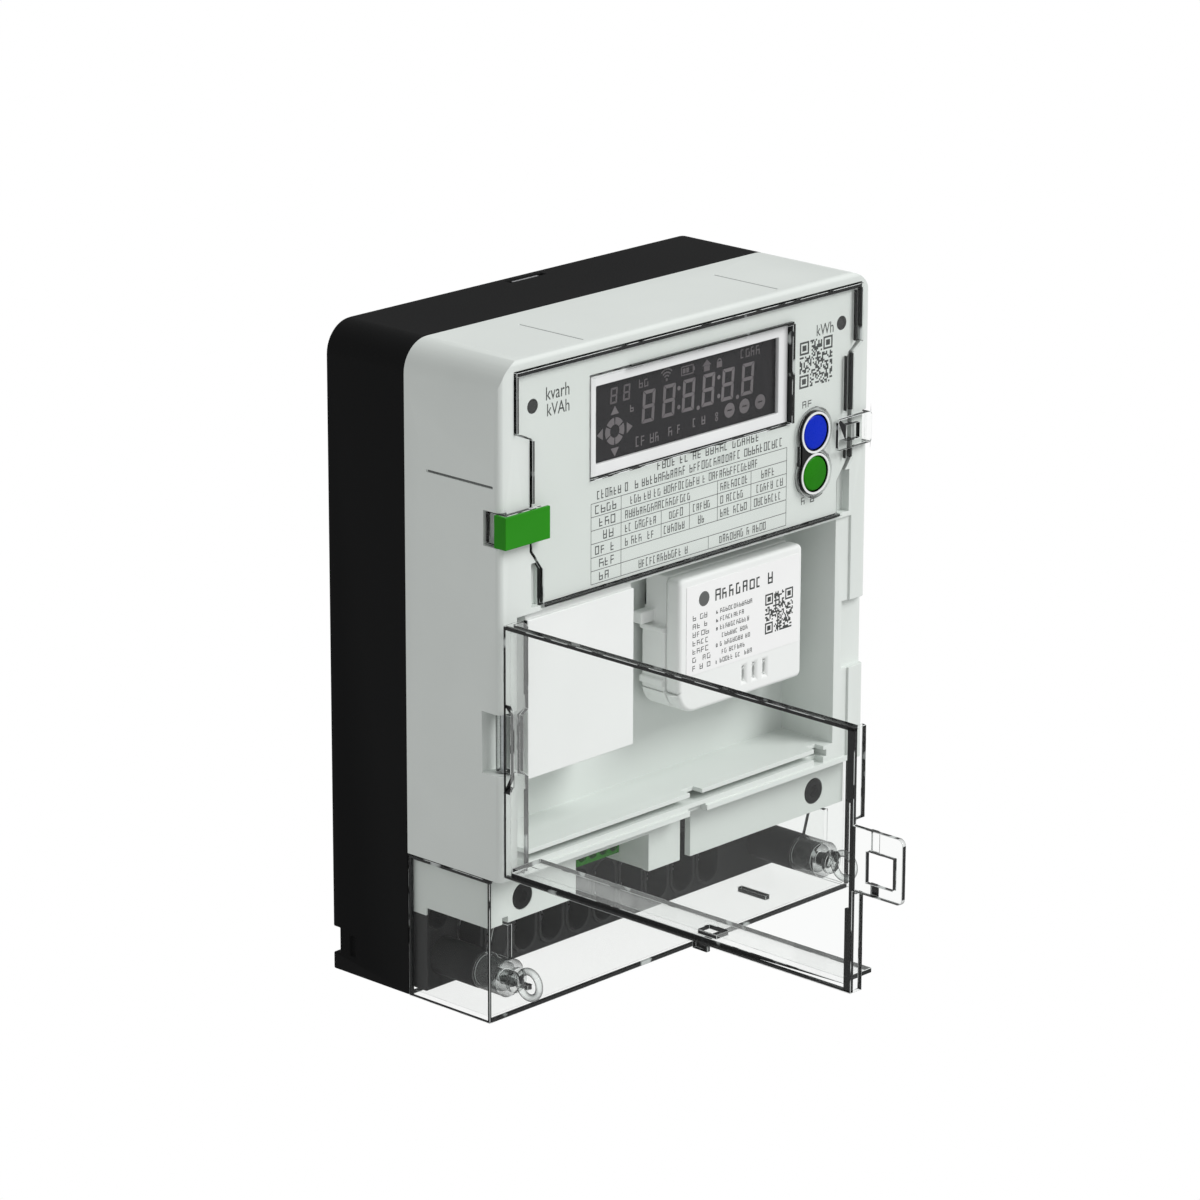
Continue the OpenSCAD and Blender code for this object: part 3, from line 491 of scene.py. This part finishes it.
class Print:
    """Thin raised marks on one plane, each a closed prism drawn in the plane's own x and z."""

    def __init__(self, depth, thickness=0.02):
        self.bm = bmesh.new()
        self.depths = (depth, depth + thickness)

    def shape(self, points, material=0):
        """points run anticlockwise as seen from the front."""
        rings = [[self.bm.verts.new(at(x, d, z)) for x, z in points] for d in self.depths]
        back, front = rings
        made = [self.bm.faces.new(front), self.bm.faces.new(back[::-1])]
        for i in range(len(points)):
            j = (i + 1) % len(points)
            made.append(self.bm.faces.new((back[i], back[j], front[j], front[i])))
        for face in made:
            face.material_index = material

    def bar(self, x0, x1, z0, z1, material=0):
        self.shape([(x0, z0), (x1, z0), (x1, z1), (x0, z1)], material)

    def disc(self, x, z, r, material=0, count=24):
        turns = [2 * math.pi * i / count for i in range(count)]
        self.shape([(x + r * math.cos(t), z + r * math.sin(t)) for t in turns], material)

    def arc(self, x, z, r_in, r_out, start, end, material=0, count=8):
        """A ring section between two angles in degrees."""
        turns = [math.radians(start + (end - start) * i / count) for i in range(count + 1)]
        for a, b in zip(turns, turns[1:]):
            corners = ((r_in, a), (r_out, a), (r_out, b), (r_in, b))
            self.shape([(x + r * math.cos(t), z + r * math.sin(t)) for r, t in corners], material)

    def words(self, draw, x0, x1, z, height, pitch=1.7, weight=0.32, material=0):
        """A row of meaningless strokes that stands in for a line of small print."""
        x = x0
        while x + pitch * 0.8 < x1:
            if draw.random() < 0.13:
                x += pitch * 0.7
                continue
            w = pitch * draw.uniform(0.62, 0.8)
            tall = height * draw.uniform(0.85, 1.0)
            self.bar(x, x + weight, z, z + tall, material)
            if draw.random() < 0.65:
                self.bar(x + w - weight, x + w, z, z + tall * draw.choice((0.6, 1.0)), material)
            for level in draw.sample((0.0, 0.42, 0.86), 2):
                self.bar(x + weight, x + w - weight, z + tall * level, z + tall * level + weight, material)
            x += pitch

    def code(self, draw, x0, x1, z0, z1, count=25, material=0):
        """A square of random modules with three plain corner squares."""
        dx, dz = (x1 - x0) / count, (z1 - z0) / count
        corners = ((0, 0), (0, count - 7), (count - 7, count - 7))
        for i in range(count):
            run = None
            for j in range(count + 1):
                near = [(i - a, j - b) for a, b in corners if -1 <= i - a <= 7 and -1 <= j - b <= 7]
                if near:
                    ring = max(abs(near[0][0] - 3), abs(near[0][1] - 3))
                    on = ring in (0, 1, 3)
                else:
                    on = draw.random() < 0.47
                on = on and j < count
                if on and run is None:
                    run = j
                if not on and run is not None:
                    self.bar(x0 + i * dx, x0 + (i + 1) * dx, z0 + run * dz, z0 + j * dz, material)
                    run = None

    def finish(self, name, body, slot, materials):
        mesh = bpy.data.meshes.new(name)
        self.bm.to_mesh(mesh)
        self.bm.free()
        indices = [p.material_index for p in mesh.polygons]
        piece = add_piece(name, mesh, body, materials)
        mesh.polygons.foreach_set("material_index", indices)
        return piece


LETTER_SMOOTHNESS = 3
LETTER_RELIEF = 0.02
LETTER_STRETCH = 1.25


def lettering(name, text, x0, x1, z, depth):
    """A unit's name in the plain built-in letters, between two sideways places."""
    curve = bpy.data.curves.new(name, "FONT")
    curve.body = text
    curve.extrude = 0.5
    curve.resolution_u = LETTER_SMOOTHNESS
    maker = bpy.data.objects.new(name + "_maker", curve)
    bpy.context.scene.collection.objects.link(maker)
    bpy.context.view_layer.update()
    mesh = bpy.data.meshes.new_from_object(maker)
    bpy.data.objects.remove(maker)
    low = min(v.co.x for v in mesh.vertices)
    high = max(v.co.x for v in mesh.vertices)
    scale = (x1 - x0) / (high - low)
    for v in mesh.vertices:
        x, up, out = v.co
        rise = depth + LETTER_RELIEF / 2 + out * LETTER_RELIEF
        v.co = at(x0 + (x - low) * scale, rise, z + up * scale * LETTER_STRETCH)
    mesh.name = name
    return add_piece(name, mesh, "meter", [front_ink])


# ---- Display ----

(_, lcd_depths, _) = span("lcd_panel")
(screen_x, _, screen_z) = span("display_lens")
SCREEN_U = 93.0
SCREEN_V = 29.0
lcd = Print(lcd_depths[1] + 0.01, 0.02)


def on_screen(u, v):
    """A place on the display's dark field, counted from its bottom left corner."""
    return (
        screen_x[0] + u * (screen_x[1] - screen_x[0]) / SCREEN_U,
        screen_z[0] + v * (screen_z[1] - screen_z[0]) / SCREEN_V,
    )


def screen_shape(points, faint=0):
    lcd.shape([on_screen(u, v) for u, v in points], faint)


def digit(u, v, w, h, t, faint=0):
    """The seven segments of one digit, centred at u, v, leaning a little to the right."""
    lean = 0.07
    gap = t * 0.12

    def put(points):
        screen_shape([(u + x + lean * y, v + y) for x, y in points], faint)

    half_w, half_h = w / 2, h / 2
    for level in (-half_h, 0, half_h):
        inward = 0 if level == 0 else -math.copysign(1, level)
        a, b = -half_w + gap, half_w - gap
        if inward == 0:
            c = t / 2
            put([(a + c, -c), (b - c, -c), (b, 0), (b - c, c), (a + c, c), (a, 0)])
        else:
            quad = [(a, level), (b, level), (b - t, level + inward * t), (a + t, level + inward * t)]
            put(quad if inward > 0 else quad[::-1])
    for side in (-1, 1):
        for top in (-1, 1):
            outer = side * half_w
            inner = side * (half_w - t)
            near = top * (gap + t * 0.1)
            far = top * (half_h - gap)
            quad = [(outer, near), (outer, far), (inner, far - top * t), (inner, near + top * t * 0.5)]
            put(quad if side * top > 0 else quad[::-1])


def draw_display():
    for u in (27.9, 38.2, 48.2, 58.4, 68.5, 78.8):
        digit(u, 15.8, 6.2, 12.2, 1.35)
    for u in (10.5, 16.9):
        digit(u, 23.3, 3.4, 6, 0.75, 1)
    for u in (43.3, 63.8):
        for v in (12.2, 19.4):
            lcd.disc(*on_screen(u, v), 0.75)
    for u in (53.2, 73.6):
        lcd.disc(*on_screen(u, 9.9), 0.75)
    # Ring of keys with an arrow on each side
    cx, cz = on_screen(11, 9.9)
    for k in range(6):
        lcd.arc(cx, cz, 2.2, 4.5, k * 60 + 34, k * 60 + 86)
    for k in range(4):
        turn = math.radians(90 * k)
        out, side = Vector((math.cos(turn), math.sin(turn))), Vector((-math.sin(turn), math.cos(turn)))
        tip, foot = out * 8.4, out * 5.6
        points = [foot - side * 1.9, tip, foot + side * 1.9]
        lcd.shape([(cx + p.x, cz + p.y) for p in points])
    # Three round marks
    for u in (69.5, 77.3, 85.5):
        lcd.disc(*on_screen(u, 5.6), 2.5)
        cx, cz = on_screen(u, 5.6)
        lcd.bar(cx - 1.1, cx + 1.1, cz - 0.25, cz + 0.25, 2)
    # Signal arcs, battery, house and lock
    cx, cz = on_screen(37, 23.8)
    for r in (1.2, 2.3, 3.4):
        lcd.arc(cx, cz, r, r + 0.5, 45, 135, 1)
    lcd.disc(cx, cz + 0.1, 0.5, 1, 12)
    cx, cz = on_screen(47.5, 25.4)
    for a, b, c, d in ((-3, 3, -1.6, -1.2), (-3, 3, 1.2, 1.6), (-3, -2.6, -1.6, 1.6), (2.6, 3, -1.6, 1.6),
                       (3.05, 3.6, -0.7, 0.7), (-2.2, -0.9, -0.8, 0.8), (-0.5, 0.8, -0.8, 0.8)):
        lcd.bar(cx + a, cx + b, cz + c, cz + d, 1)
    cx, cz = on_screen(57.5, 25.2)
    lcd.shape([(cx - 2.2, cz), (cx + 2.2, cz), (cx, cz + 2)], 1)
    lcd.bar(cx - 1.4, cx + 1.4, cz - 1.9, cz - 0.1, 1)
    cx, cz = on_screen(64, 25.2)
    lcd.bar(cx - 1.3, cx + 1.3, cz - 1.8, cz + 0.2, 1)
    lcd.arc(cx, cz + 0.25, 0.6, 1.05, 0, 180, 1)
    # Small marks that stand in for words
    draw = random.Random(11)
    for u0, u1, v, h, faint in ((23, 30, 23.4, 3.4, 1), (75, 86.5, 24.2, 3.8, 1), (18.6, 22, 15.4, 3, 0),
                                (21.5, 33.5, 1.6, 4, 0), (38, 47, 2.2, 3.8, 0), (50.5, 60.5, 3, 3.8, 0)):
        x0, z = on_screen(u0, v)
        x1, _ = on_screen(u1, v)
        lcd.words(draw, x0, x1, z, h * 0.88, 2.5, 0.42, faint)
    cx, cz = on_screen(62.8, 3.6)
    for dz in (0, 1.6):
        lcd.arc(cx, cz + dz, 0.4, 0.75, 0, 360, 0)
    return lcd.finish("display_marks", "meter", "lcd_dark", [lcd_mark, lcd_faint, finish["lcd_dark"]])


draw_display()

# ---- Printed front ----

(_, plate_depths, _) = span("faceplate")
PRINT_DEPTH = plate_depths[1] + 0.005
TABLE_X = (42.5, 137.1)
TABLE_ROWS = (167.7, 163.2, 158.7, 154.2, 149.6, 145.1, 140.7)
# Each column line's place, with its lower and upper row line
TABLE_COLUMNS = ((42.5, 6, 0), (56.6, 6, 0), (137.1, 6, 0), (75.7, 4, 2), (89.3, 4, 2),
                 (102.9, 4, 1), (119.4, 4, 1), (98.6, 6, 5))
# The sideways spans of the small print in each row, from the top
TABLE_TEXT = (
    ((58.5, 124),),
    ((58.5, 90), (104.3, 118), (124.5, 132)),
    ((58.5, 73.5), (77, 88), (91, 100), (104.3, 118), (121, 135.5)),
    ((58.5, 73.5), (77, 88), (93.5, 97.5), (104.3, 118), (121, 136)),
    (),
    ((65, 89), (104, 128)),
)
HEADINGS_X = (44.4, 54.8)
LINE = 0.22


def draw_front():
    marks = Print(PRINT_DEPTH)
    for z in TABLE_ROWS:
        marks.bar(*TABLE_X, z - LINE / 2, z + LINE / 2, 1)
    for x, low, high in TABLE_COLUMNS:
        marks.bar(x - LINE / 2, x + LINE / 2, TABLE_ROWS[low], TABLE_ROWS[high], 1)
    draw = random.Random(5)
    for z, cells in zip(TABLE_ROWS[1:], TABLE_TEXT):
        marks.words(draw, *HEADINGS_X, z + 0.75, 3, 2.7, 0.36)
        for x0, x1 in cells:
            marks.words(draw, x0, x1, z + 0.8, 2.9, 1.75, 0.3)
    marks.words(draw, 45.3, 136.5, 168.7, 3.1, 1.95, 0.34)
    marks.words(draw, 73.7, 123.8, 172.8, 2.9, 2.3, 0.36)
    marks.words(draw, 144.7, 151.5, 179.6, 2.6, 2.7, 0.34)
    marks.words(draw, 144.7, 151.5, 146.1, 2.6, 2.7, 0.34)
    marks.code(draw, 143, 159.5, 186.5, 202.4)
    return marks.finish("front_print", "meter", "printed_plastic", [front_ink, thin_ink])


draw_front()
lettering("unit_kwh", "kWh", 151.4, 159.9, 203.2, PRINT_DEPTH)
lettering("unit_kvarh", "kvarh", 21.7, 32.4, 206.2, PRINT_DEPTH)
lettering("unit_kvah", "kVAh", 22.2, 32.4, 200.9, PRINT_DEPTH)

# ---- Modem label ----

(label_x, label_depths, label_z) = span("modem_label")


def draw_label():
    marks = Print(label_depths[1] + 0.005)
    draw = random.Random(23)
    left, right = label_x
    top = label_z[1]
    marks.words(draw, left + 14, right - 10, top - 7.5, 4, 3.4, 0.6)
    marks.arc(left + 8.5, top - 5.5, 0, 2.6, 0, 360, 1, 16)
    for row in range(7):
        z = top - 12.2 - row * 2.9
        marks.words(draw, left + 3, left + 12, z, 1.9, 2.1, 0.26)
        marks.words(draw, left + 14.5, left + 15.6, z, 1.2, 1.2, 0.3)
        marks.words(draw, left + 16.5, left + 16.5 + draw.uniform(12, 18), z, 1.7, 1.35, 0.24)
    marks.code(draw, right - 17, right - 3, top - 25, top - 11)
    return marks.finish("modem_print", "meter", "paper_label", [front_ink, thin_ink])


draw_label()

# ---- Floor, light and camera ----

# In metres
FLOOR_GAP = 0.12
FLOOR_SIZE = 8.0
FLOOR_DARK = (0.62, 0.62, 0.62)
FLOOR_PALE = (0.66, 0.66, 0.66)
WORLD_STRENGTH = 0.5
KEY_STRENGTH = 2.1
KEY_ANGLE = math.radians(32)
KEY_FROM = Vector((0.42, -0.63, 0.65))


def add_floor():
    """A pale, evenly lit floor that the camera sees as white and that lights the meter from below."""
    mesh = bpy.data.meshes.new("floor")
    half = FLOOR_SIZE / 2
    level = cad_box[0][2] - FLOOR_GAP
    corners = [(x * half, y * half, level) for x, y in ((-1, -1), (1, -1), (1, 1), (-1, 1))]
    mesh.from_pydata(corners, [], [(0, 1, 2, 3)])
    floor = bpy.data.objects.new("floor", mesh)
    bpy.context.scene.collection.objects.link(floor)
    s = Shader("floor")
    clouds = s.ramp(s.noise(400), 0.3, 0.7)
    s.set(Base_Color=s.blend(clouds, FLOOR_DARK, FLOOR_PALE), Roughness=0.9)
    white = s.add("ShaderNodeEmission", Color=(1, 1, 1, 1), Strength=1.0).outputs[0]
    seen = s.add("ShaderNodeLightPath").outputs["Is Camera Ray"]
    mesh.materials.append(s.show(s.join(seen, s.surface.outputs[0], white)))


def add_light():
    world = bpy.data.worlds.new("studio")
    bpy.context.scene.world = world
    world.use_nodes = True
    background = world.node_tree.nodes["Background"]
    background.inputs["Color"].default_value = (1, 1, 1, 1)
    background.inputs["Strength"].default_value = WORLD_STRENGTH
    key = bpy.data.lights.new("key", "SUN")
    key.energy = KEY_STRENGTH
    key.angle = KEY_ANGLE
    lamp = bpy.data.objects.new("key", key)
    lamp.rotation_euler = KEY_FROM.to_track_quat("Z", "Y").to_euler()
    bpy.context.scene.collection.objects.link(lamp)


CAMERA_PLACE = Vector((-1.24154, -1.20998, 0.53417))
CAMERA_TURN = math.radians(46.641)
CAMERA_DROP = math.radians(17.195)
CAMERA_ROLL = math.radians(0.164)
CAMERA_LENS = 160.46
CAMERA_SENSOR = 36


def add_camera():
    ahead = Vector((
        math.sin(CAMERA_TURN) * math.cos(CAMERA_DROP),
        math.cos(CAMERA_TURN) * math.cos(CAMERA_DROP),
        -math.sin(CAMERA_DROP),
    ))
    level = Vector((math.cos(CAMERA_TURN), -math.sin(CAMERA_TURN), 0))
    upright = level.cross(ahead)
    right = level * math.cos(CAMERA_ROLL) + upright * math.sin(CAMERA_ROLL)
    up = upright * math.cos(CAMERA_ROLL) - level * math.sin(CAMERA_ROLL)
    camera = bpy.data.objects.new("camera", bpy.data.cameras.new("camera"))
    camera.data.lens = CAMERA_LENS
    camera.data.sensor_width = CAMERA_SENSOR
    camera.data.clip_start = 0.05
    camera.matrix_world = Matrix.Translation(CAMERA_PLACE) @ Matrix((right, up, -ahead)).transposed().to_4x4()
    bpy.context.scene.collection.objects.link(camera)
    bpy.context.scene.camera = camera


add_floor()
add_light()
add_camera()
bpy.context.scene.view_settings.view_transform = "Standard"
